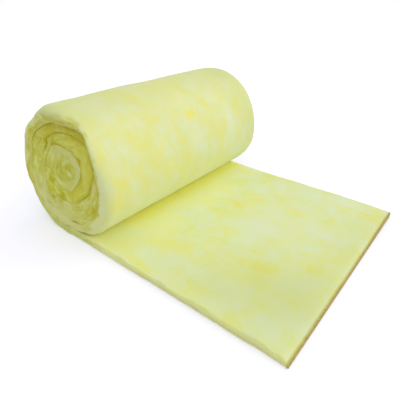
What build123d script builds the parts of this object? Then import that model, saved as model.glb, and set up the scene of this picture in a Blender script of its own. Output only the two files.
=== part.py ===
from build123d import *
import os

# A glass wool blanket, part of it still wound and part of it rolled out flat.
# It is one long strip of soft wool: the flat tail lies on the ground, runs in
# under the roll, climbs its back, comes over the top and winds inwards to the
# core. All sizes are in millimetres.
#
# X runs along the flat tail, from the roll towards the cut end, Y runs along
# the roll from one side edge of the blanket to the other, and Z is up. The
# origin is on the ground, in the middle of the space the whole thing takes up.

# The blanket itself, as it lies.
blanket_width = 1200.0
blanket_thickness = 50.0
side_edge_radius = 20.0

# How it is wound.
turn_gap = 8.0
core_radius = 14.0
half_turns = 10

# The roll is soft, so its weight gives every turn a short level stretch at the
# top and at the bottom, and the roll is a little wider than it is high.
level_run = 56.0

# The flat tail, from the level stretch under the roll to the cut end.
tail_length = 1192.0

# The cut end is pinched thin by the knife. Its top falls away at a first slope
# in degrees and then more and more steeply.
cut_taper_length = 80.0
cut_taper_first_slope = 8.0
cut_edge_height = 22.0

# From one turn to the next, and the radius of the outermost half turn. Both
# are measured on the face of the blanket that lies on the ground.
turn_pitch = blanket_thickness + turn_gap
outer_radius = core_radius + blanket_thickness + (half_turns - 1) * turn_pitch / 2

# The half turns at the back share one centre. Those at the front share another
# that is half a pitch higher, so every half turn runs on from the last one.
roll_back_reach = outer_radius + level_run
roll_front_x = roll_back_reach - (roll_back_reach + tail_length) / 2
roll_back_x = roll_front_x - level_run
cut_end_x = roll_front_x + tail_length
back_centre = (roll_back_x, outer_radius)
front_centre = (roll_front_x, outer_radius + turn_pitch / 2)


def half_turn_radius(number):
    """Radius of the middle of the blanket in one half turn, counted from the outside."""
    return outer_radius - blanket_thickness / 2 - number * turn_pitch / 2


# The way the middle of the blanket takes, from the cut end to the core.
with BuildLine(Plane.XZ) as wound_path:
    Line((cut_end_x, blanket_thickness / 2), (roll_back_x, blanket_thickness / 2))
    for number in range(half_turns):
        radius = half_turn_radius(number)
        climbs = number % 2 == 0
        if climbs:
            CenterArc(back_centre, radius, -90, -180)
            level = outer_radius + radius
            stretch = (roll_back_x, roll_front_x)
        else:
            CenterArc(front_centre, radius, 90, -180)
            level = outer_radius + turn_pitch / 2 - radius
            stretch = (roll_front_x, roll_back_x)
        if number < half_turns - 1:
            Line((stretch[0], level), (stretch[1], level))

# The section of the blanket, seen by someone who stands at the cut end. Its
# side edges are soft and never quite square.
with BuildPart() as glass_wool_blanket:
    with BuildSketch(Plane.YZ.offset(cut_end_x)) as blanket_section:
        with Locations((0, blanket_thickness / 2)):
            RectangleRounded(
                blanket_width,
                blanket_thickness,
                min(side_edge_radius, 0.49 * blanket_thickness),
            )
    sweep(path=wound_path.wires()[0])

    # The knife presses the wool down along the cut. What it takes away reaches
    # past the blanket on every side.
    taper_start = (cut_end_x - cut_taper_length, blanket_thickness)
    taper_end = (cut_end_x, cut_edge_height)
    beyond_x = cut_end_x + blanket_thickness
    above_z = 2 * blanket_thickness
    with BuildSketch(Plane.XZ) as pinch:
        with BuildLine():
            TangentArc(taper_start, taper_end, tangent=Vector(1, 0).rotate(Axis.Z, -cut_taper_first_slope))
            Polyline(
                taper_end,
                (beyond_x, cut_edge_height),
                (beyond_x, above_z),
                (cut_end_x - cut_taper_length, above_z),
                taper_start,
            )
        make_face()
    extrude(amount=blanket_width, both=True, mode=Mode.SUBTRACT)

glass_wool_blanket.part.label = "glass_wool_blanket"

os.makedirs("parts", exist_ok=True)
export_step(glass_wool_blanket.part, "parts/glass_wool_blanket.step")

path_length = wound_path.wires()[0].length
print("roll height", round(2 * outer_radius), "mm")
print("blanket length", round(path_length), "mm")
print("volume", round(glass_wool_blanket.part.volume / 1e9, 4), "m3")
print("section times length", round(blanket_section.sketch.area * path_length / 1e9, 4), "m3")
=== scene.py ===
# %% [markdown]
# # A glass wool blanket, half rolled out
# The real thing is one long, soft strip of glass wool, pale yellow from the resin that holds its fibres
# together. Part of it is still wound up, and its free end lies flat on the floor. It has no cover, no tube
# and no tape, so this lesson makes a single piece of wool, and spends all its effort on how soft wool folds,
# frays and takes the light.
#
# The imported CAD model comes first. It fixes where everything is, and the soft blanket made here takes the
# place of its plain solid.

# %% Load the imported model
import math

import bpy
import numpy as np
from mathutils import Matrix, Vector


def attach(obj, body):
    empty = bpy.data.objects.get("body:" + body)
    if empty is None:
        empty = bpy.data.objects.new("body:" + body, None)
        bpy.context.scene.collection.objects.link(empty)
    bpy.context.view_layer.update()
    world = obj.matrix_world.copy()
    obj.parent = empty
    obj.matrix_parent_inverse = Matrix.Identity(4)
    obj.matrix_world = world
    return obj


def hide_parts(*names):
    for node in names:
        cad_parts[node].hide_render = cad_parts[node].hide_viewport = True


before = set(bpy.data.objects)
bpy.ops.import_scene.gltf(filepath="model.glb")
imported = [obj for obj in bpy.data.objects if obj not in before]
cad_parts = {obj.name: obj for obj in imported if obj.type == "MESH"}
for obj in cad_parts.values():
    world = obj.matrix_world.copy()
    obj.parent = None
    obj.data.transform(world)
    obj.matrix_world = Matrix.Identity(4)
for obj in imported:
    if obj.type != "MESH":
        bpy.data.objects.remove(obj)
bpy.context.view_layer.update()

# %% [markdown]
# ## The camera
# The photo looks down on the blanket from the front and a little to the right of its near end, from about
# 1.1 m above the floor. A camera can be turned towards a target, but an exact yaw and pitch are easier to
# match to a photo, so the camera gets its angles as numbers. Blender's camera looks along its own -Z, so a
# pitch of 90 degrees about X would look at the horizon, and each degree less looks a degree further down.

# %% Place the camera
looks_down = 30.07
turned_left = 38.88
lens = 33.05

scene = bpy.context.scene
scene.view_settings.view_transform = "Standard"

camera_data = bpy.data.cameras.new("camera")
camera_data.sensor_width = 36.0
camera_data.lens = lens
camera = bpy.data.objects.new("camera", camera_data)
camera.location = (1.0451, -1.3941, 1.1018)
camera.rotation_euler = (math.radians(90 - looks_down), 0, math.radians(turned_left))
scene.collection.objects.link(camera)
scene.camera = camera
print("camera", tuple(round(v, 3) for v in camera.location), "lens", lens, "mm")

# %% [markdown]
# ## Helpers for colour and nodes
# A colour picked on a screen is an sRGB hex value, and Blender's shader sockets want linear light, so one
# function turns one into the other. Another one adds a shader node, sets what it has to be set to and links
# its inputs, which keeps each material short enough to read.

# %% Helpers for materials
def linear(hex_value):
    """An sRGB hex colour such as '#e4eaa7' as linear light."""
    channels = [int(hex_value[i:i + 2], 16) / 255 for i in (1, 3, 5)]
    return tuple(c / 12.92 if c <= 0.04045 else ((c + 0.055) / 1.055) ** 2.4 for c in channels) + (1.0,)


def add(tree, kind, settings=None, stops=(), **inputs):
    """Adds a node. Settings are its properties, and inputs are values or the sockets to link from.

    An input goes by its socket's name, or by i0, i1 and so on where sockets share one name. Stops are the
    (position, colour) pairs of a colour ramp.
    """
    node = tree.nodes.new(kind)
    for name, value in (settings or {}).items():
        setattr(node, name, value)
    if stops:
        elements = node.color_ramp.elements
        while len(elements) < len(stops):
            elements.new(0.5)
        for element, (position, colour) in zip(elements, stops):
            element.position = position
            element.color = colour
    for name, value in inputs.items():
        by_number = name[0] == "i" and name[1:].isdigit()
        socket = node.inputs[int(name[1:]) if by_number else name.replace("_", " ")]
        if isinstance(value, bpy.types.NodeSocket):
            tree.links.new(value, socket)
        else:
            socket.default_value = value
    return node


def new_material(name):
    """An empty node material."""
    material = bpy.data.materials.new(name)
    material.use_nodes = True
    material.node_tree.nodes.clear()
    return material, material.node_tree


print("the skin's middle colour in linear light", [round(c, 3) for c in linear("#e0e49e")[:3]])

# %% [markdown]
# ## Light
# The photo was taken in even studio light on a white ground: no hard shadow, only a soft grey line where the
# wool meets the floor. A world of one plain colour lights all sides alike. One wide sun, high on the right
# and a little behind, makes the top and the front of the roll brighter than its near end. A weaker one from
# the left and in front keeps that end clear. Both are as wide as a whole wall of lamps, which is what makes
# their shadows soft.
#
# The camera sees the world as pure white, and so does light that is mirrored. All soft light comes from it at
# the plain level.

# %% Light the scene
sky_strength = 0.45
lamps = [
    # name, strength, width in degrees, direction towards the lamp
    ("key", 1.76, 120, (0.8, 0.25, 0.8)),
    ("fill", 0.53, 90, (-0.75, -0.45, 0.6)),
]

world = bpy.data.worlds.new("studio")
scene.world = world
world.use_nodes = True
tree = world.node_tree
tree.nodes.clear()
path = add(tree, "ShaderNodeLightPath")
seen = path.outputs["Is Camera Ray"]
for ray in ("Is Glossy Ray", "Is Transmission Ray"):
    seen = add(tree, "ShaderNodeMath", {"operation": "MAXIMUM"}, i0=seen, i1=path.outputs[ray]).outputs[0]
white = add(tree, "ShaderNodeBackground", Color=(1, 1, 1, 1), Strength=1.0)
soft = add(tree, "ShaderNodeBackground", Color=(1, 1, 1, 1), Strength=sky_strength)
mixed = add(tree, "ShaderNodeMixShader", i0=seen, i1=soft.outputs[0], i2=white.outputs[0])
add(tree, "ShaderNodeOutputWorld", Surface=mixed.outputs[0])

for name, strength, width, towards in lamps:
    lamp_data = bpy.data.lights.new(name, "SUN")
    lamp_data.energy = strength
    lamp_data.angle = math.radians(width)
    lamp = bpy.data.objects.new(name, lamp_data)
    lamp.rotation_euler = Vector(towards).normalized().to_track_quat("Z", "Y").to_euler()
    scene.collection.objects.link(lamp)
    print(name, "strength", strength, "width", width, "degrees")
print("sky strength", sky_strength)

# %% [markdown]
# ## Floor
# The floor has to be white in the picture and still keep the shadow. More light would bleach the wool too,
# so the floor gets a little glow of its own that only the camera sees. The shadow that falls on it stays.
# Its paint is a touch bluish, because the wool throws yellow light on it.

# %% Lay the floor
floor_size = 60.0
floor_glow = 0.25

half = floor_size / 2
floor_mesh = bpy.data.meshes.new("floor")
floor_corners = [(-half, -half, 0), (half, -half, 0), (half, half, 0), (-half, half, 0)]
floor_mesh.from_pydata(floor_corners, [], [(0, 1, 2, 3)])
floor = bpy.data.objects.new("floor", floor_mesh)
scene.collection.objects.link(floor)
floor_material, tree = new_material("white_floor")
path = add(tree, "ShaderNodeLightPath")
glow = add(tree, "ShaderNodeMath", {"operation": "MULTIPLY"}, i0=path.outputs["Is Camera Ray"], i1=floor_glow)
paint = add(tree, "ShaderNodeBsdfDiffuse", Color=linear("#eeeefd"))
lit = add(tree, "ShaderNodeEmission", Color=(1, 1, 1, 1), Strength=glow.outputs[0])
both = add(tree, "ShaderNodeAddShader", i0=paint.outputs[0], i1=lit.outputs[0])
add(tree, "ShaderNodeOutputMaterial", Surface=both.outputs[0])
floor_mesh.materials.append(floor_material)
print("floor", floor_size, "m wide, glow", floor_glow)

# %% [markdown]
# ## Smooth noise
# Wool has no straight line in it. What makes it look soft is bumps of several sizes on top of each other,
# from sags of 30 cm down to layers of a few millimetres. Blender has textures for that, but the bumps
# have to follow the strip round the roll and stay away from the floor, so they are worked out here. Space is
# cut into cells, each corner of a cell picks a random value from a table, and a point gets a smooth blend of
# the eight values around it. The table's seed is fixed, so the blanket is the same every time.

# %% Noise on points
noise_table = np.random.RandomState(7).rand(4096) * 2 - 1


def soft_noise(points, size, seed):
    """Smooth values from -1 to 1 at points in metres. Size is how far apart the bumps are."""
    cell = np.asarray(points, float) / np.asarray(size, float)
    low = np.floor(cell).astype(int)
    part = cell - low
    part = part * part * (3 - 2 * part)
    total = 0.0
    for corner in range(8):
        step = np.array([corner & 1, corner >> 1 & 1, corner >> 2 & 1])
        key = low + step
        # These numbers only have to spread neighbouring corners over the whole table.
        index = (key[..., 0] * 73 + key[..., 1] * 179 + key[..., 2] * 283 + seed * 997) * 2654435761
        value = noise_table[(index >> 7) & 4095]
        weight = np.where(step == 1, part, 1 - part).prod(axis=-1)
        total = total + value * weight
    return total


def bumps(points, *kinds):
    """Noise of several kinds on top of each other. Each kind is (depth, size, seed)."""
    return sum(depth * soft_noise(points, size, seed) for depth, size, seed in kinds)


print("noise values from", round(noise_table.min(), 2), "to", round(noise_table.max(), 2))

# %% [markdown]
# ## Smooth curves through a few points
# Most of what the blanket does changes slowly from one end of it to the other, such as how thick it is. A few
# points, joined by a curve, are enough to say that. A plain spline would swing past its points and make
# bumps that nobody asked for, so this one is flat wherever its points turn back.

# %% Curves
def ease(value, start, end):
    """0 before start, 1 after end, and smooth between."""
    share = np.clip((np.asarray(value, float) - start) / (end - start), 0, 1)
    return share * share * (3 - 2 * share)


def between(value, keys):
    """Smooth curve through a few (position, height) keys that never swings past them."""
    places, heights = np.array(keys, float).T
    rises = np.diff(heights) / np.diff(places)
    slopes = np.zeros(len(places))
    same_way = rises[:-1] * rises[1:] > 0
    slopes[1:-1][same_way] = 2 / (1 / rises[:-1][same_way] + 1 / rises[1:][same_way])
    value = np.clip(np.asarray(value, float), places[0], places[-1])
    key = np.clip(np.searchsorted(places, value) - 1, 0, len(places) - 2)
    width = places[key + 1] - places[key]
    share = (value - places[key]) / width
    left = 1 - share
    ends = (1 + 2 * share) * left ** 2 * heights[key] + (3 - 2 * share) * share ** 2 * heights[key + 1]
    return ends + width * share * left * (left * slopes[key] - share * slopes[key + 1])


print("half way up a curve", float(between(0.5, [(0, 0), (1, 1)])))

# %% [markdown]
# ## The way the blanket winds
# The strip starts at its cut end on the right, lies flat, runs in under the roll, climbs the back and winds
# inwards. A spiral is easiest in polar form: for every angle wound, one distance from the roll's middle. The
# angle is 0 where the strip meets the roll's lowest point, 90 at the back, 180 on top and 270 at the front.
#
# The outermost turn is a circle with its bottom cut off by the floor, or by the tail when it comes round to
# the front. Where circle and floor meet, a soft minimum of the two distances rounds the corner. Floor,
# height, reach and the place of the tail are those of the CAD solid. The turn only bends in a little at the
# back, and at the front where the wool sags.
#
# The turns inside it were wound by hand and pressed about since, so they are far from round, and no formula
# gives them. Here they are one curve through points. These started as measurements: places picked on the
# seams that the photo shows were turned into angles and distances through the camera above, and the
# distances were then changed until the seams in the picture came close to the photo's.

# %% Follow the spiral
cut_end_x = 0.7865
middle_x = -0.448
middle_z = 0.316
roll_radius = 0.338
tail_under_roll = 0.052
wound_end = 1625.0
core_shift = (-0.045, 0.029)


def outermost(angle):
    """Distance of the outermost turn's underside from the middle, for angles from 0 to 360."""
    below = np.where(angle > 180, tail_under_roll, 0.0)
    cos = np.cos(np.radians(angle))
    flat = np.where(cos > 0.2, (middle_z - below) / np.maximum(cos, 0.2), 9.0)
    round_part = roll_radius - between(angle, [(275, 0.0), (322, 0.020), (360, 0.022)])
    round_part = round_part - between(angle, [(35, 0.0), (62, 0.011), (95, 0.012), (125, 0.0)])
    softness = between(angle, [(0, 0.008), (180, 0.008), (300, 0.003)])
    return -softness * np.logaddexp(-round_part / softness, -flat / softness)


def inner_turns(angle):
    """Distance of the underside in the turns inside the outermost one."""
    return between(angle, [(360, 0.264), (400, 0.285), (430, 0.284), (460, 0.270), (487, 0.280), (512, 0.268),
                           (535, 0.256), (554, 0.268), (570, 0.288), (590, 0.268), (630, 0.262), (680, 0.250),
                           (720, 0.204), (758, 0.222), (785, 0.212), (805, 0.207), (825, 0.195), (845, 0.204),
                           (856, 0.219), (870, 0.214), (890, 0.209), (915, 0.219), (938, 0.243), (952, 0.222),
                           (968, 0.192), (1002, 0.165), (1032, 0.154), (1050, 0.159), (1085, 0.168),
                           (1112, 0.162), (1149, 0.142), (1176, 0.120), (1215, 0.124), (1250, 0.105),
                           (1278, 0.095), (1304, 0.110), (1335, 0.122), (1390, 0.120), (1420, 0.124),
                           (1450, 0.104), (1530, 0.070), (1590, 0.050), (1630, 0.042)])


def spiral_point(angle):
    """Place (x, z) of the blanket's underside after winding through an angle."""
    angle = np.asarray(angle, float)
    distance = np.where(angle < 360, outermost(angle), inner_turns(angle))
    shift = ease(angle, 1000, 1100)
    return np.stack([middle_x + core_shift[0] * shift - distance * np.sin(np.radians(angle)),
                     middle_z + core_shift[1] * shift - distance * np.cos(np.radians(angle))], -1)


for name, degrees in (("back", 90), ("top", 180), ("front", 270)):
    print(name, "of the roll at x and z", spiral_point(degrees).round(3), "m")

# %% [markdown]
# ## Samples along the blanket
# The spiral is cut into samples that lie about 13 mm apart on the outermost turn and closer in the tight
# turns near the core. The tail gets its own, with three more close to the cut, where the wool is thin.

# %% Take samples along the blanket
def lengths_up_to(points):
    """How far each point of a chain lies from its start, along the chain."""
    return np.concatenate([[0], np.cumsum(np.hypot(*np.diff(points, axis=0).T))])


tail_x = np.linspace(cut_end_x, middle_x, 100)[:-1]
close_to_cut = cut_end_x - np.array([0.0015, 0.004, 0.008])
tail_x = np.sort(np.concatenate([tail_x, close_to_cut]))[::-1]

fine = np.arange(0, wound_end, 0.5)
spacing = between(fine, [(0, 0.0135), (720, 0.012), (1080, 0.009), (1400, 0.007), (1700, 0.006)])
steps_taken = np.concatenate([[0], np.cumsum(np.diff(lengths_up_to(spiral_point(fine))) / spacing[1:])])
angles = np.interp(np.arange(0, steps_taken[-1]), steps_taken, fine)

base = np.concatenate([np.stack([tail_x, np.zeros(len(tail_x))], 1), spiral_point(angles)])
wound = np.concatenate([np.zeros(len(tail_x)), angles])
in_roll = np.arange(len(base)) >= len(tail_x)
along = lengths_up_to(base)
print("samples along the blanket", len(base), "length on its underside", round(along[-1], 2), "m")

# %% [markdown]
# ## How thick the wool is
# A knife pinches the cut end thin, and the free tail lies a little flatter than the wool in the roll. In the
# roll there is no thickness to choose: a turn fills what lies between itself and the next one in, and reaches
# a few millimetres into it, so no light shines through the joint. In the core, where no next turn is left,
# the wool meets itself along a short slanting line.

# %% Thickness along the blanket
fold_end = np.array([-0.448, 0.295])
least_thickness = 0.002
pressed_together = 0.0035

under_roll = cut_end_x - middle_x - 0.2
thickness = between(along, [(0.0, 0.016), (0.02, 0.034), (0.12, 0.041), (0.8, 0.043), (under_roll, 0.048),
                            (under_roll + 0.1, 0.0515)])
inner = base + np.stack([np.zeros(len(base)), thickness], 1)
has_next = in_roll & (wound < wound_end - 360)
inner[has_next] = spiral_point(wound[has_next] + 360)

fold_start = spiral_point(wound_end)
way_down = (1 - np.cos(np.radians(wound - wound_end + 360))) / 2
on_fold = fold_start + way_down[:, None] * (fold_end - fold_start)
inner = np.where((wound >= wound_end - 360)[:, None], on_fold, inner)

inward = inner - base
thickness = np.maximum(np.hypot(*inward.T), least_thickness)
inward /= thickness[:, None]
thickness = thickness + np.where(in_roll, pressed_together * ease(wound, 0, 30), 0)
for name, degrees in (("the back", 90), ("the top", 180), ("the front", 270)):
    print("thick at", name, round(1000 * float(np.interp(degrees, angles, thickness[in_roll]))), "mm")

# %% [markdown]
# ## Where the side edges lie
# No roll is wound quite straight. On its near end some turns sit a few centimetres back and others stick out,
# and where two turns have felted together their ends are one surface. So the near edge has a place for every
# angle wound, and so has the share to which a turn has grown together with the next one in. With a share of
# 1, the end goes over gradually into the next turn's. With 0 it keeps its own edge, with a groove beside it.
# The far end isn't seen in the photo and stays plainer.

# %% Places of the side edges
def by_turn(*keys):
    """A smooth curve through (degrees wound, value) keys, for each sample along the blanket."""
    return between(wound, keys)


near_edge = -0.600 + by_turn(
    (0, -0.006), (50, -0.008), (85, -0.002), (112, 0.014), (147, 0.03), (180, 0.004), (198, 0.006),
    (211, 0.036), (222, 0.028), (240, 0.006), (265, -0.012), (290, -0.020), (330, -0.020), (365, -0.010),
    (420, -0.002), (480, 0.03), (520, 0.06), (600, 0.065), (640, 0.03), (690, -0.004), (760, -0.002),
    (820, 0.035), (880, 0.062), (940, 0.068), (1000, 0.055), (1040, 0.035), (1110, 0.002), (1170, 0.035),
    (1240, 0.062), (1320, 0.072), (1400, 0.05), (1450, 0.03), (1540, 0.06), (1620, 0.088))
far_edge = 0.600 + by_turn((0, 0.0), (60, 0.010), (340, 0.010), (420, 0.0), (900, 0.01), (1800, 0.015))
grown_together = by_turn(
    (0, 1.0), (95, 1.0), (125, 0.7), (180, 0.4), (245, 0.35), (300, 0.8), (360, 1.0), (470, 1.0), (490, 0.35),
    (640, 0.3), (690, 0.8), (770, 1.0), (820, 0.8), (850, 0.2), (880, 0.3), (930, 0.8), (1100, 1.0),
    (1800, 1.0))
grown_before = np.where(wound > 360, np.interp(wound - 360, wound, grown_together), 0.0)
print("near edge from", round(near_edge.min(), 3), "to", round(near_edge.max(), 3), "m")

# %% [markdown]
# ## How round the side edges are
# A turn's end is rounded towards the outer and towards the inner side of the roll, each with its own radius.
# On the back and at the lower front the outermost turn rolls over into the end in a curve that is wider than
# the wool is thick. The curve's tip can lie anywhere in the thickness, and its shape goes from fully round
# (1) to nearly square (0.5). Edges that have grown together lose their rounding.

# %% Roundness of the side edges
least_rounding = 0.0005

outer_rounding = by_turn(
    (0, 0.012), (40, 0.018), (85, 0.022), (110, 0.05), (150, 0.07), (180, 0.062), (200, 0.04), (214, 0.018),
    (232, 0.018), (250, 0.040), (268, 0.070), (315, 0.075), (345, 0.050), (370, 0.002), (450, 0.005),
    (490, 0.03), (530, 0.04), (600, 0.03), (640, 0.003), (780, 0.002), (830, 0.03), (900, 0.04),
    (960, 0.035), (1010, 0.02), (1060, 0.01), (1100, 0.002), (1800, 0.002))
inner_rounding = by_turn(
    (0, 0.002), (85, 0.003), (120, 0.02), (150, 0.03), (205, 0.03), (240, 0.015), (330, 0.003), (400, 0.002),
    (440, 0.003), (500, 0.02), (600, 0.02), (680, 0.006), (740, 0.002), (800, 0.002), (860, 0.008),
    (960, 0.012), (1040, 0.006), (1100, 0.002), (1250, 0.003), (1300, 0.008), (1400, 0.008), (1500, 0.003),
    (1800, 0.003))
outer_rounding = least_rounding + outer_rounding * (1 - grown_before)
inner_rounding = least_rounding + inner_rounding * (1 - grown_together)
tip_height = by_turn(
    (0, 0.42), (90, 0.42), (120, 0.5), (160, 0.4), (180, 0.28), (203, 0.22), (214, 0.16), (232, 0.2),
    (250, 0.6), (268, 0.93), (315, 0.93), (345, 0.6), (380, 0.5), (500, 0.6), (600, 0.6), (650, 0.5),
    (1800, 0.5))
bulge = by_turn(
    (0, 0.72), (120, 0.8), (160, 0.9), (210, 0.9), (240, 0.85), (265, 1.0), (330, 1.0), (365, 0.5),
    (450, 0.5), (500, 0.9), (620, 0.9), (680, 0.5), (780, 0.5), (840, 0.9), (1000, 0.9), (1080, 0.5),
    (1220, 0.5), (1300, 0.9), (1400, 0.9), (1480, 0.5), (1800, 0.5))
print("widest rounding", round(1000 * outer_rounding.max()), "mm")

# %% [markdown]
# ## The section of the blanket
# A loop of points around the blanket's own section is carried along the spiral. It is a rectangle whose two
# short sides are rounded, so its points are given as a place across the width, a height in the thickness and
# the direction in which the surface looks there. Many points go to the near edge, which shows the turns'
# ends, and fewer to the far one. Across the width they lie closer together towards both edges.

# %% One loop around the section
across_count = 50
near_count = 20
far_count = 10
far_rounding_in, far_rounding_out = 0.018, 0.02

across = (1 - np.cos(np.linspace(0, np.pi, across_count))) / 2
across = 0.55 * across + 0.45 * np.linspace(0, 1, across_count)
near_angles = np.linspace(-np.pi / 2, np.pi / 2, near_count + 2)[1:-1]
far_angles = np.linspace(np.pi / 2, -np.pi / 2, far_count + 2)[1:-1]


def flat_side(side_y, side_height, looks_up):
    """Loop points of the upper or lower side: across, height and the way the surface looks."""
    zeros = np.zeros(across_count)
    return np.stack([side_y, zeros + side_height, zeros, zeros + looks_up], 1)


def round_side(index, edge, side, edge_angles, rounded_in, rounded_out):
    """Loop points of one short side, from -90 to 90 degrees round its tip or the other way."""
    sin, cos, power = np.sin(edge_angles), np.cos(edge_angles), bulge[index]
    behind_tip = 1 - cos ** power
    off_tip = np.sign(sin) * np.abs(sin) ** power
    y = edge - side * behind_tip * np.where(edge_angles > 0, rounded_in, rounded_out)
    thick, tip = thickness[index], tip_height[index]
    above_tip = tip * thick + off_tip * (1 - tip) * thick
    below_tip = tip * thick + off_tip * tip * thick
    return np.stack([y, np.where(off_tip > 0, above_tip, below_tip), side * cos, sin], 1)


def loop_at(index):
    """Across, height, and outward direction (across, height) of each loop point at one sample."""
    near, far = near_edge[index], far_edge[index]
    inner, outer = inner_rounding[index], outer_rounding[index]
    near_next = np.interp(wound[index] + 360, wound, near_edge) if in_roll[index] else near
    goes_over = grown_together[index] * (near_next - near)
    top_near = near + goes_over
    top_y = top_near + inner + across * (far - far_rounding_in - top_near - inner)
    under_y = (near + outer + across * (far - far_rounding_out - near - outer))[::-1]
    far_side = round_side(index, far, 1, far_angles, far_rounding_in, far_rounding_out)
    near_side = round_side(index, near, -1, near_angles, inner, outer)
    near_side[:, 0] += goes_over * ease(near_side[:, 1] / thickness[index], 0.0, 1.0)
    upper, under = flat_side(top_y, thickness[index], 1), flat_side(under_y, 0, -1)
    return np.concatenate([upper, far_side, under, near_side])


loops = np.array([loop_at(i) for i in range(len(base))])
rows, loop_points = loops.shape[:2]
print("loop points", loop_points, "so the blanket has", rows * loop_points, "vertices")

# %% [markdown]
# ## Put the strip in place
# The clean strip comes first. What is made of it later needs to know, for each point, where it lies on the
# strip, whether it belongs to the roll, how far it is up in the wool's thickness, and how near it is to a
# side edge (1 on the edge, and 0 from 9 cm inwards).

# %% Put the clean strip in place
def for_each_point(values):
    """One value per sample, repeated for all points of its loop."""
    return np.repeat(np.asarray(values, float)[:, None], loop_points, 1)


across_y, height, side_way, up_way = (loops[:, :, k] for k in range(4))
inward_x, inward_z = inward[:, None, 0], inward[:, None, 1]
x = base[:, None, 0] + inward_x * height
z = base[:, None, 1] + inward_z * height
strip = np.stack([for_each_point(along), across_y, height], -1)

edge_amount = np.abs(side_way)
on_roll = (in_roll * 1.0)[:, None]
on_tail = ~in_roll[:, None]
turn = wound[:, None]
share_of_height = height / thickness[:, None]
edge_zone = 0.09
near_part = 1 - ease(across_y - near_edge[:, None], 0.0, edge_zone)
far_part = 1 - ease(far_edge[:, None] - across_y, 0.0, edge_zone)
print("points on the near edge", int((side_way < 0).sum()), "and on the far edge", int((side_way > 0).sum()))

# %% [markdown]
# ## The soft surface
# The skin is never flat: it has soft bumps as wide as a hand and smaller ones on them. The side edges are
# ragged, with thin layers, because the fibres were laid down like leaves in a book. On the roll's end
# neighbouring turns have felted together, so the relief there goes on from one turn to the next, and a few
# deep pits are left where wool was pulled out. All this is done by moving points, since a wound blanket with
# its turns pressed together is more than a cloth simulation can do in good time.

# %% Relief, ragged edges and pits
pit_depth = 0.012
pits_at = [
    # place on the roll's end (x, z), radius, strength
    (-0.560, 0.450, 0.022, 0.9), (-0.430, 0.420, 0.014, 0.7), (-0.375, 0.405, 0.018, 0.8),
    (-0.556, 0.177, 0.016, 0.9), (-0.505, 0.165, 0.014, 0.7), (-0.250, 0.200, 0.018, 0.8),
    (-0.663, 0.209, 0.018, 0.5),
]

end_place = np.stack([x, 0 * x, z], -1)
felted = bumps(end_place, (0.006, 0.055, 14), (0.005, 0.026, 15), (0.002, 0.013, 16))
felted_here = np.maximum(ease(turn, 350, 380), on_roll * ease(share_of_height, 0.2, 0.8))
pits = np.zeros((rows, loop_points))
for pit_x, pit_z, pit_radius, strength in pits_at:
    pits += strength * np.exp(-((x - pit_x) ** 2 + (z - pit_z) ** 2) / pit_radius ** 2)
pits = pits * near_part * on_roll

ragged = bumps(strip, (0.003 + 0.003 * on_roll, (0.06, 1.0, 0.05), 4), (0.0015, (0.02, 1.0, 0.018), 5))
layers = bumps(strip, (0.0008, (0.06, 1.0, 0.011), 6), (0.0006, (0.03, 1.0, 0.006), 7))
y = across_y + side_way * (ragged + layers) * (1 - felted_here)
y = y + (far_part - near_part) * felted * felted_here + pit_depth * pits

relief = bumps(strip, (0.0026, (0.14, 0.12, 0.2), 1), (0.0010, (0.06, 0.05, 0.1), 2))
relief = relief * np.where(turn < 380, 1.0, 0.3)
lies_on_floor = on_tail & (up_way < -0.2)
outward = relief * up_way * ~lies_on_floor
x = x + inward_x * outward
z = z + inward_z * outward
print("bumps up to", round(1000 * np.abs(relief).max(), 1), "mm, ragged edges up to",
      round(1000 * np.abs(ragged).max(), 1), "mm")

# %% [markdown]
# ## Corners, dents and sags
# The knife left the far corner of the cut nearly as thick as the rest of the tail. Near the roll's near end,
# hands have dented the turns as they gripped them. Broad sags come last and move all the turns at one place
# together, so they never cut through each other.

# %% Corners, dents and sags
above_floor = 0.0008

uncut = between(along, [(0.0, 0.036), (0.12, 0.041)])
far_corner = ease(across_y, 0.0, 0.6) * (np.where(along < 0.12, uncut / thickness, 1.0) - 1)[:, None]
z = z * (1 + far_corner)

near_end = on_roll * (1 - ease(y, -0.62, -0.42))
dents = 0.007 * soft_noise(np.stack([strip[..., 0], 0 * y, 0 * y], -1), 0.085, 12)
x = x + inward_x * near_end * dents
z = z + inward_z * near_end * dents

place = np.stack([x, y, z], -1)
lift_off = ease(z, 0.03, 0.25)
x = x + 0.004 * lift_off * soft_noise(place, 0.3, 8)
z = z + 0.003 * lift_off * soft_noise(place, 0.28, 9)
z = z + 0.006 * ease(z, 0.3, 0.6) * np.exp(-((y + 0.15) / 0.3) ** 2)
z = np.maximum(z, above_floor)
vertices = np.stack([x, y, z], -1).reshape(-1, 3)
print("roll top at", round(z.max(), 3), "m")

# %% [markdown]
# ## The mesh
# Neighbouring loops are joined by four-sided faces. At the cut end and at the core the loop is closed by
# faces between its upper and its lower points, so the blanket is one closed skin.

# %% Build the blanket
index = np.arange(rows * loop_points).reshape(rows, loop_points)
next_around = np.roll(index, -1, axis=1)
faces = np.stack([index[:-1], index[1:], next_around[1:], next_around[:-1]], -1).reshape(-1, 4).tolist()


def closing_faces(loop, flip):
    """Faces between the upper and lower points of one loop. The lower ones run the other way round."""
    upper, far_points, lower, near_points = (
        list(part) for part in np.split(loop, np.cumsum([across_count, far_count, across_count])))
    quads = [(upper[k], upper[k + 1], lower[-k - 2], lower[-k - 1]) for k in range(across_count - 1)]
    for chain in ([upper[-1]] + far_points + [lower[0]], [lower[-1]] + near_points + [upper[0]]):
        for k in range(len(chain) // 2 - 1):
            quads.append((chain[k], chain[k + 1], chain[-k - 2], chain[-k - 1]))
    return [quad[::-1] if flip else quad for quad in quads]


faces += closing_faces(index[0], True) + closing_faces(index[-1], False)

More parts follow.
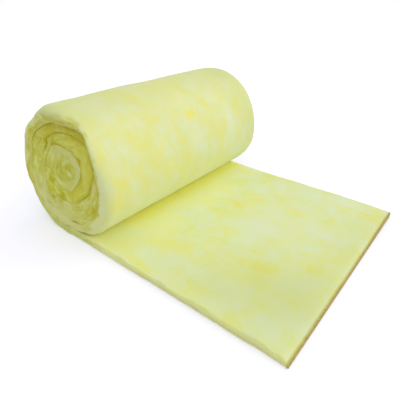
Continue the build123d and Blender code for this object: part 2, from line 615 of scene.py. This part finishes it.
mesh = bpy.data.meshes.new("glass_wool")
mesh.from_pydata(vertices.tolist(), [], faces)
mesh.validate()
mesh.polygons.foreach_set("use_smooth", [True] * len(mesh.polygons))
mesh.update()
blanket = bpy.data.objects.new("soft_blanket", mesh)
scene.collection.objects.link(blanket)
triangles = sum(len(polygon.vertices) - 2 for polygon in mesh.polygons)
print("blanket", len(mesh.vertices), "vertices", triangles, "triangles")

# %% [markdown]
# ## Skin, end and cut
# The blanket has three kinds of surface. Its skin is pale. Its ends show the wool's inside, a fuller yellow,
# and the edge that the knife pressed together is a light brown. A picture could be painted for that, but the
# mesh knows better where each of them is, so it stores for each point how much it belongs to them, and the
# material reads these values.
#
# On the outermost turn the pale skin is drawn over the rounded edge, up to a height that changes as it winds
# and with a torn border. Under the roll nothing but the wool's own yellow is seen. On the near side of the
# tail, the lower half of the edge has a trace of that brown.

# %% Store where skin, end and cut are
def store(name, values, kind="FLOAT", field="value"):
    """Keeps one value for each vertex, for the material to read."""
    attribute = mesh.attributes.new(name, kind, "POINT")
    attribute.data.foreach_set(field, np.asarray(values, float).ravel())


nip_x = middle_x + 0.18
skin_reach = by_turn((85, 0.3), (110, 0.5), (145, 0.5), (170, 0.5), (185, 0.3), (203, 0.15), (214, 0.10),
                     (232, 0.2), (250, 0.45), (262, 0.62), (275, 0.8), (300, 0.85), (322, 0.5), (345, 0.2))
torn_border = bumps(strip, (0.25, 0.035, 11), (0.15, 0.014, 17))
past_skin = ease(share_of_height - skin_reach[:, None] + torn_border, -0.15, 0.2)
skin_wraps = by_turn((0, 0.0), (60, 0.0), (100, 1.0), (345, 1.0), (375, 0.0))[:, None]

end_amount = edge_amount * (1 - skin_wraps * (1 - past_skin))
end_amount = np.maximum(end_amount, for_each_point(ease(wound, 380, 440)))
tail_edge_paler = 0.6 * ease(base[:, 0], middle_x + 0.12, middle_x + 0.3)[:, None] * on_tail
end_amount = end_amount * (1 - tail_edge_paler)
end_amount = np.maximum(end_amount, on_roll * ease(share_of_height, 0.9, 1.0))
under_the_roll = np.where(on_tail, ease(nip_x - x, 0.0, 0.08), turn > 345)
end_amount = np.maximum(end_amount, under_the_roll)

cut_amount = 1 - ease(for_each_point(along), 0.002, 0.014)
brown_lower_edge = between(x, [(-0.1, 0.0), (0.1, 0.25), (0.55, 0.25), (0.75, 0.15)]) * on_tail * (side_way < 0)
brown_lower_edge = brown_lower_edge * edge_amount * (1 - ease(share_of_height, 0.3, 0.8))
brown_lower_edge = brown_lower_edge * (1 + 0.6 * soft_noise(strip, 0.05, 24))
cut_amount = np.maximum(cut_amount, brown_lower_edge)

store("strip", strip, "FLOAT_VECTOR", "vector")
store("inside", ease(share_of_height, 0.4, 0.9) * (up_way > 0.2))
store("face", end_amount)
store("cut", cut_amount)
print("points on the ends", int((end_amount > 0.5).sum()), "and on the cut", int((cut_amount > 0.5).sum()))

# %% [markdown]
# ## The end's painted shade and its own colours
# The shade in the grooves between the turns is painted on as a deep golden yellow, most of all above and in
# front of the core. On the outermost turn that painted shade fills the inner half of its end, and the pits
# have it too. Some turns are paler, low on the end and round the core, and the turn in front of the core is a
# clear, even yellow.

# %% Store the end's shades
seam_shade_strength = by_turn(
    (0, 0.0), (80, 0.4), (115, 0.4), (150, 0.5), (175, 0.9), (215, 1.0), (240, 0.9), (275, 0.9), (300, 0.3),
    (470, 0.1), (500, 1.0), (600, 1.0), (640, 0.9), (670, 0.2), (790, 0.1), (830, 0.9), (880, 1.0),
    (1000, 1.0), (1050, 0.6), (1090, 0.3), (1170, 0.1), (1800, 0.1))[:, None]
golden_shade = by_turn(
    (50, 0.0), (80, 0.25), (115, 0.25), (150, 0.0), (470, 0.0), (500, 0.5), (610, 0.5), (650, 0.0))
pale = by_turn(
    (0, 0.5), (50, 0.2), (85, 0.0), (320, 0.4), (360, 0.9), (410, 0.8), (460, 0.1), (660, 0.0), (720, 0.7),
    (770, 0.6), (820, 0.1), (1150, 0.0), (1220, 0.65), (1400, 0.6), (1500, 0.2), (1800, 0.1))
clear_yellow = by_turn((850, 0.0), (920, 0.4), (960, 0.55), (1040, 0.55), (1090, 0.0))

# The golden colour is painted shade: in the grooves between the turns, over the inner half of the outermost
# turn's end, and in the pits.
into_seam = 1 - ease(edge_amount, 0.35, 0.98)
into_seam = np.maximum(into_seam, ease(share_of_height, 0.5, 0.8) * (turn < 300))
painted_seam_shade = end_amount * np.minimum(np.maximum(into_seam * seam_shade_strength, golden_shade[:, None]) + pits, 1)
store("seam_shade", painted_seam_shade)
store("pale", for_each_point(pale))
store("ring", for_each_point(clear_yellow))
print("points in the golden seams", int((painted_seam_shade > 0.5).sum()))

# %% [markdown]
# ## Where the resin gathered
# The wool's yellow is the resin that was sprayed on it, and it didn't fall evenly. It gathered in spots and
# in long smears that run along the strip, between whitish veils of nearly clean fibre. Noise alone would put
# them anywhere, so the big ones are listed: each has a place along the strip, a place across it, two half
# sizes and a strength, and the noise only pulls its outline about. A negative strength makes a veil. Most of
# the places were picked in the photo and worked out through the camera above, and the sizes and strengths
# are judged one by one. On the tail, the place is given in metres on the floor, and on the roll in degrees
# wound. The smears on the roll run a little slantwise.

# %% Place the spots and veils
tail_spots = [
    (0.08, 0.12, 0.08, 0.04, 0.8), (0.14, 0.25, 0.10, 0.03, 0.6), (0.36, 0.27, 0.13, 0.035, 0.6),
    (0.53, 0.47, 0.06, 0.03, 0.4), (0.48, -0.27, 0.10, 0.03, 0.9), (0.66, -0.13, 0.13, 0.02, 0.6),
    (0.66, -0.34, 0.09, 0.03, 0.4), (0.07, -0.40, 0.09, 0.05, 0.4), (0.28, -0.27, 0.08, 0.04, 0.3),
    (0.72, 0.02, 0.05, 0.04, 0.4), (0.05, -0.57, 0.25, 0.02, 0.5), (0.32, 0.03, 0.14, 0.09, -1.0),
    (0.14, -0.44, 0.08, 0.05, -0.5), (0.43, -0.43, 0.12, 0.05, -0.5), (0.55, 0.15, 0.15, 0.08, -0.4),
]
roll_spots = [
    (229, 0.05, 0.025, 0.019, 2.2), (218, 0.03, 0.09, 0.012, 0.7), (205, 0.10, 0.12, 0.014, 0.6),
    (222, 0.19, 0.09, 0.015, 0.6), (225, -0.43, 0.04, 0.035, 0.35), (238, -0.36, 0.11, 0.03, 0.35),
    (249, -0.23, 0.05, 0.03, 0.6), (272, 0.25, 0.08, 0.015, 0.7), (248, 0.42, 0.09, 0.012, 0.7),
    (227, 0.29, 0.04, 0.03, 0.5), (199, -0.19, 0.04, 0.04, 0.6), (281, -0.55, 0.05, 0.025, 0.7),
    (265, -0.21, 0.04, 0.04, 0.5), (268, -0.46, 0.05, 0.05, 0.4), (238, -0.56, 0.08, 0.02, 0.6),
    (250, 0.34, 0.10, 0.035, -1.0), (203, -0.40, 0.10, 0.05, -0.7), (211, 0.05, 0.08, 0.03, -0.6),
    (252, 0.02, 0.10, 0.04, -0.6), (262, -0.60, 0.12, 0.02, -0.2),
]
roll_slant = 0.25

pulled = strip[..., 0] + 0.035 * soft_noise(strip, 0.09, 21) + roll_slant * across_y * on_roll
pulled_y = across_y + 0.018 * soft_noise(strip, 0.07, 22)


def patch(at_along, at_y, half_length, half_width):
    """1 in the middle of a patch on the strip, and less and less away from it."""
    return np.exp(-((pulled - at_along) / half_length) ** 2 - ((pulled_y - at_y) / half_width) ** 2)


spots = [(cut_end_x - at_x, at_y, *rest) for at_x, at_y, *rest in tail_spots]
spots += [(np.interp(degrees, angles, along[in_roll]) + roll_slant * at_y, at_y, *rest)
          for degrees, at_y, *rest in roll_spots]
resin_and_nip_shade = sum(spot[-1] * patch(*spot[:-1]) for spot in spots if spot[-1] > 0)
veil = sum(-spot[-1] * patch(*spot[:-1]) for spot in spots if spot[-1] < 0)
store("veil", veil)
print("spots", sum(spot[-1] > 0 for spot in spots), "veils", sum(spot[-1] < 0 for spot in spots))

# %% [markdown]
# ## Painted shade
# The skin's colour is laid a little darker and greener as painted shade: on the tail in three broad patches,
# on the back and top of the roll, and towards the far end. Along the roll's near edge, where the skin turns
# away from the light, a band of painted shade makes it greyer.

# %% Place the painted shade
# Patches of painted shade on the tail: place along it in metres, place across, two half sizes, strength.
shade_patches = [(0.62, -0.36, 0.30, 0.22, 0.5), (0.74, 0.10, 0.10, 0.40, 0.3), (0.30, -0.50, 0.30, 0.10, 0.2)]

painted_shade = sum(strength * patch(cut_end_x - at_x, at_y, half_length, half_width)
           for at_x, at_y, half_length, half_width, strength in shade_patches)
back_and_top = (0.25 + 0.2 * (1 - ease(across_y, -0.65, 0.0))) * (1 - ease(turn, 195, 225))
painted_shade = painted_shade + on_roll * (back_and_top + 0.3 * ease(across_y, 0.25, 0.6))

# The band along the roll's near edge is painted shade, where the skin turns away from the light.
edge_shade = by_turn((100, 0.0), (130, 0.3), (240, 0.4), (260, 0.4), (310, 0.3), (345, 0.2), (360, 0.0))
in_edge_band = 1 - ease(across_y + 0.02 * soft_noise(strip, 0.06, 13), -0.60, -0.53)
painted_shade = painted_shade + edge_shade[:, None] * in_edge_band
print("points on duller skin", int((painted_shade > 0.3).sum()))

# %% [markdown]
# ## Where the roll meets the tail
# Light that has gone through the wool fills the nip between roll and tail with a bright, full yellow. The
# render doesn't trace that light through so much wool, so the wool's own colour is made lighter there as
# painted light, in a band on the tail that follows the nip and fades out over some 30 cm, and a much weaker
# one on the roll. Towards the near end the band is less bright, and painted shade is laid on there instead:
# the resin's yellow and the darker green of the painted shade. The tail's side edges get a little of the
# painted light too.

# %% Store the nip's band
near_share_of_nip = (1 - ease(across_y, -0.62, -0.2)) * on_tail
roll_share_of_nip = 0.35
tail_edge_light = 0.26

from_nip = np.where(on_tail, x - nip_x, (330 - turn) * math.radians(1) * roll_radius)
spread = 1 + 0.25 * soft_noise(strip, (0.3, 0.12, 0.3), 23) + 0.2 * on_roll
nip_band = between(np.clip(from_nip, 0, 9) / spread,
                   [(0, 1.0), (0.05, 0.62), (0.10, 0.35), (0.16, 0.2), (0.32, 0.0)])
nip_band = nip_band * (turn < 365) * ease(from_nip, -0.05, -0.02)
# Towards the near end the nip gets painted shade: the resin's yellow and the darker green of the painted
# shade.
resin_and_nip_shade = resin_and_nip_shade + 1.2 * near_share_of_nip * nip_band
painted_shade = painted_shade + 0.3 * near_share_of_nip * nip_band
nip_band = nip_band * (1 - 0.8 * near_share_of_nip) * (1 - on_roll * ease(edge_amount, 0.1, 0.4))
nip_band = nip_band * np.where(on_tail, 1.0, roll_share_of_nip)
# The tail's side edges get a little of the nip's painted light, so they stay lighter.
nip_band = np.maximum(nip_band, tail_edge_light * edge_amount * on_tail)
store("resin_and_nip_shade", resin_and_nip_shade)
store("painted_shade", painted_shade)
store("nip", nip_band)
print("points in the nip's band", int((nip_band > 0.3).sum()))

# %% [markdown]
# ## Glass wool
# Glass wool is spun glass fibre, thinner than a hair, sprayed with a yellow resin and baked into a mat. Its
# fibres lie in bundles and layers that mostly run along the strip, and its pattern has to show that. Noise
# that is tied to space would cut straight through the turns. Here it is read at the place on the strip that
# the mesh keeps, so it runs round every edge and is wound up with the wool.
#
# Two helpers build a whole stack of nodes in one line: one adds up patterns by their weights, and one lays
# colours over each other by how much of each there is.

# %% Helpers for the wool's pattern
wool, tree = new_material("glass_wool")
strip_place = add(tree, "ShaderNodeAttribute", {"attribute_name": "strip"}).outputs["Vector"]
stored = {
    name: add(tree, "ShaderNodeAttribute", {"attribute_name": name}).outputs["Fac"]
    for name in ("inside", "resin_and_nip_shade", "veil", "painted_shade", "nip", "pale", "ring", "face", "seam_shade", "cut")
}


def wool_noise(size_mm, detail, stretch, distortion, seed):
    """Noise on the strip with bumps of a size in millimetres, drawn out along it by a stretch below 1."""
    moved = add(tree, "ShaderNodeMapping", Vector=strip_place, Scale=(stretch, 1, 1),
                Location=(seed, seed * 1.7, 0))
    return add(tree, "ShaderNodeTexNoise", {"noise_dimensions": "3D"}, Vector=moved.outputs[0],
               Scale=1000 / size_mm, Detail=detail, Roughness=0.55, Distortion=distortion).outputs["Fac"]


def weighted(*pairs):
    """Sum of patterns times their weights."""
    total = 0.0
    for pattern, weight in pairs:
        total = add(tree, "ShaderNodeMath", {"operation": "MULTIPLY_ADD"},
                    i0=pattern, i1=weight, i2=total).outputs[0]
    return total


def layered(colour, *layers):
    """A colour with others laid over it in turn, each by an amount from 0 to 1."""
    for amount, over in layers:
        colour = add(tree, "ShaderNodeMix", {"data_type": "RGBA"}, i0=amount, i6=colour, i7=over).outputs[2]
    return colour


print("values that the material reads", list(stored))

# %% [markdown]
# ## The skin's colour
# The pale skin changes softly from place to place, in hazy clouds of 200 mm, drifts of 75 mm and wisps of
# 28 mm, all a little drawn out along the strip, because that is the way the fibres were laid. Real fibres are
# hundredths of a millimetre thick, so the wisps stand for whole bundles of them. The side of the blanket that
# faces up on the tail is a little paler than the one that faces out on the roll. Spots and veils are torn up
# by the wisps, and the light in the nip comes last.

# %% Mix the skin's colour
haze = wool_noise(200, 2.0, stretch=0.7, distortion=0.4, seed=3.1)
drifts = wool_noise(75, 2.5, stretch=0.85, distortion=0.5, seed=7.7)
wisps = wool_noise(28, 3.0, stretch=0.85, distortion=0.5, seed=1.3)
tone = weighted((haze, 0.36), (drifts, 0.5), (wisps, 0.14))
outside = add(tree, "ShaderNodeValToRGB", Fac=tone, stops=[
    (0.38, linear("#e3e388")), (0.50, linear("#e0e49e")), (0.62, linear("#e0e7b6"))]).outputs["Color"]
inside = add(tree, "ShaderNodeValToRGB", Fac=tone, stops=[
    (0.40, linear("#e3e88e")), (0.50, linear("#e2eaa9")), (0.60, linear("#e0ecc0"))]).outputs["Color"]
torn = add(tree, "ShaderNodeValToRGB", Fac=wisps, stops=[
    (0.35, (0.6, 0.6, 0.6, 1)), (0.65, (1, 1, 1, 1))]).outputs["Color"]
nip_colour = add(tree, "ShaderNodeValToRGB", Fac=stored["nip"], stops=[
    (0.1, linear("#f4f8ba")), (0.35, linear("#f3f5a2")), (0.6, linear("#f6f38a")),
    (0.95, linear("#fffe86"))]).outputs["Color"]

nip_strength = 2.8
amounts = {
    name: add(tree, "ShaderNodeMath", {"operation": "MULTIPLY", "use_clamp": True},
              i0=stored[name], i1=factor).outputs[0]
    for name, factor in (("resin_and_nip_shade", torn), ("veil", torn), ("nip", nip_strength))
}
# Over the skin go the resin's yellow, which near the nip also holds painted shade, the whitish veils, the
# darker green of the painted shade, and the painted light of the nip.
skin = layered(
    outside, (stored["inside"], inside), (amounts["resin_and_nip_shade"], linear("#ebe562")),
    (amounts["veil"], linear("#e3eac6")), (stored["painted_shade"], linear("#c8d086")), (amounts["nip"], nip_colour))
print("nodes up to the skin's colour", len(tree.nodes))

# %% [markdown]
# ## The ends and the cut
# The end of the roll shows the blanket's inside: fuller yellow, in thin layers that run with the strip, and
# cloudy where the fibres were pulled out. The layers are 12 mm thick here, drawn out ten times along the
# strip. Real ones are a millimetre or two, too fine for the picture. The cut takes the same layers in brown.

# %% The colour of the ends and the cut
layer_lines = wool_noise(12, 3.0, stretch=0.1, distortion=0.6, seed=5.0)
clouds = wool_noise(40, 3.0, stretch=0.5, distortion=0.8, seed=4.4)
end_tone = weighted((clouds, 0.6), (layer_lines, 0.4))
end_colour = add(tree, "ShaderNodeValToRGB", Fac=end_tone, stops=[
    (0.37, linear("#b4b024")), (0.50, linear("#c6c749")), (0.64, linear("#d7dd8a"))]).outputs["Color"]
end_colour = layered(end_colour, (stored["pale"], linear("#d3d887")), (stored["ring"], linear("#d3d148")))
cut_colour = add(tree, "ShaderNodeValToRGB", Fac=layer_lines, stops=[
    (0.3, linear("#a3913f")), (0.7, linear("#c0b05c"))]).outputs["Color"]
# The deep golden yellow bbb004 is painted shade in the grooves between the turns and in the pits.
colour = layered(
    skin, (stored["face"], end_colour), (stored["seam_shade"], linear("#bbb004")), (stored["cut"], cut_colour))
print("nodes up to the whole colour", len(tree.nodes))

# %% [markdown]
# ## How the wool takes the light
# Wool has no gloss: light goes in a little way, scatters between the fibres and comes out again as a soft
# shade. Glass has an IOR of about 1.5, but as fine fibre it mirrors nothing, so the surface is nearly fully
# rough and little of its mirror light is left. A quarter of the light goes 3 to 6 mm deep. A larger share, or
# one that reaches further, would draw dark lines along the seams between the turns, where the mesh is folded.
# A little sheen gives the bright rim of fine fibre. Tufts of 30 mm are left to a bump, which costs no faces.

# %% Finish the glass wool
tufts = wool_noise(30, 4.0, stretch=0.5, distortion=0.8, seed=9.4)
bump = add(tree, "ShaderNodeBump", Strength=0.25, Distance=0.006, Height=tufts)
surface = add(tree, "ShaderNodeBsdfPrincipled", Base_Color=colour, Roughness=0.95, Normal=bump.outputs[0],
              IOR=1.45, Specular_IOR_Level=0.15, Subsurface_Weight=0.25,
              Subsurface_Radius=(0.006, 0.006, 0.003), Subsurface_Scale=1.0, Sheen_Weight=0.12,
              Sheen_Roughness=0.6)
add(tree, "ShaderNodeOutputMaterial", Surface=surface.outputs[0])
mesh.materials.append(wool)
print("glass wool material with", len(tree.nodes), "nodes")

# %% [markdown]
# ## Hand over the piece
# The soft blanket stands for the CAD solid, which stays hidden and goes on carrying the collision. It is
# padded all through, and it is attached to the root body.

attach(blanket, "root")
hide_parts("glass_wool_blanket")
print("declared", blanket.name)
